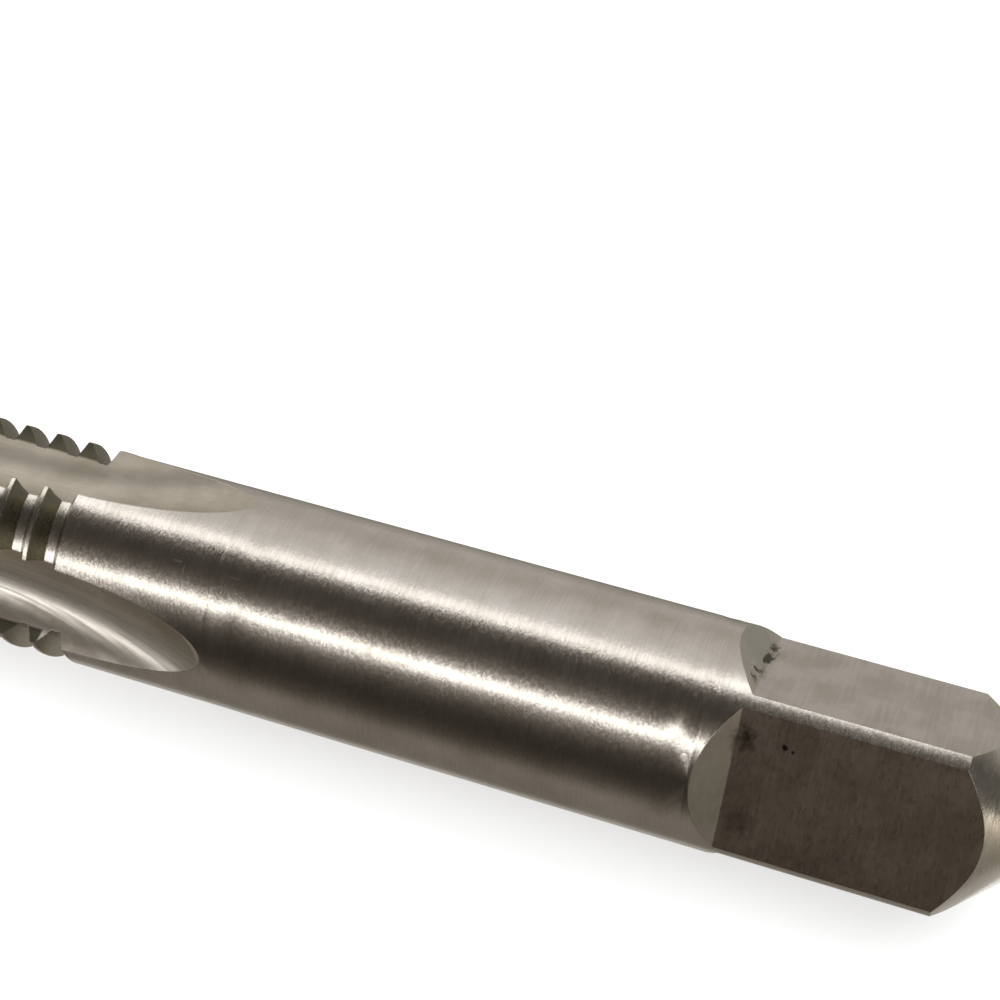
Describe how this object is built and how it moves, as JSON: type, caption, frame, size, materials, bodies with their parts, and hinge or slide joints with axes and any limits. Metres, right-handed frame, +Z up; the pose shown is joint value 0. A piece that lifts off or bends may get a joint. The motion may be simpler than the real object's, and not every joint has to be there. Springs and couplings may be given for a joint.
{
  "type": "hand tap",
  "caption": "Hand tap for cutting an internal screw thread: fluted threaded end, plain round shank and square drive end.",
  "frame": {"origin": "on the surface that it lies on, under the middle of its length and its axis", "axes": "+X along the tap's axis towards the drive square, +Z up, lying on its shank"},
  "size_m": [0.0746, 0.0096, 0.0097],
  "materials": {
    "steel": "ground high-speed steel with fine grinding lines, browned on one drive flat"
  },
  "bodies": {
    "root": {"tap_body": "steel"}
  },
  "joints": []
}
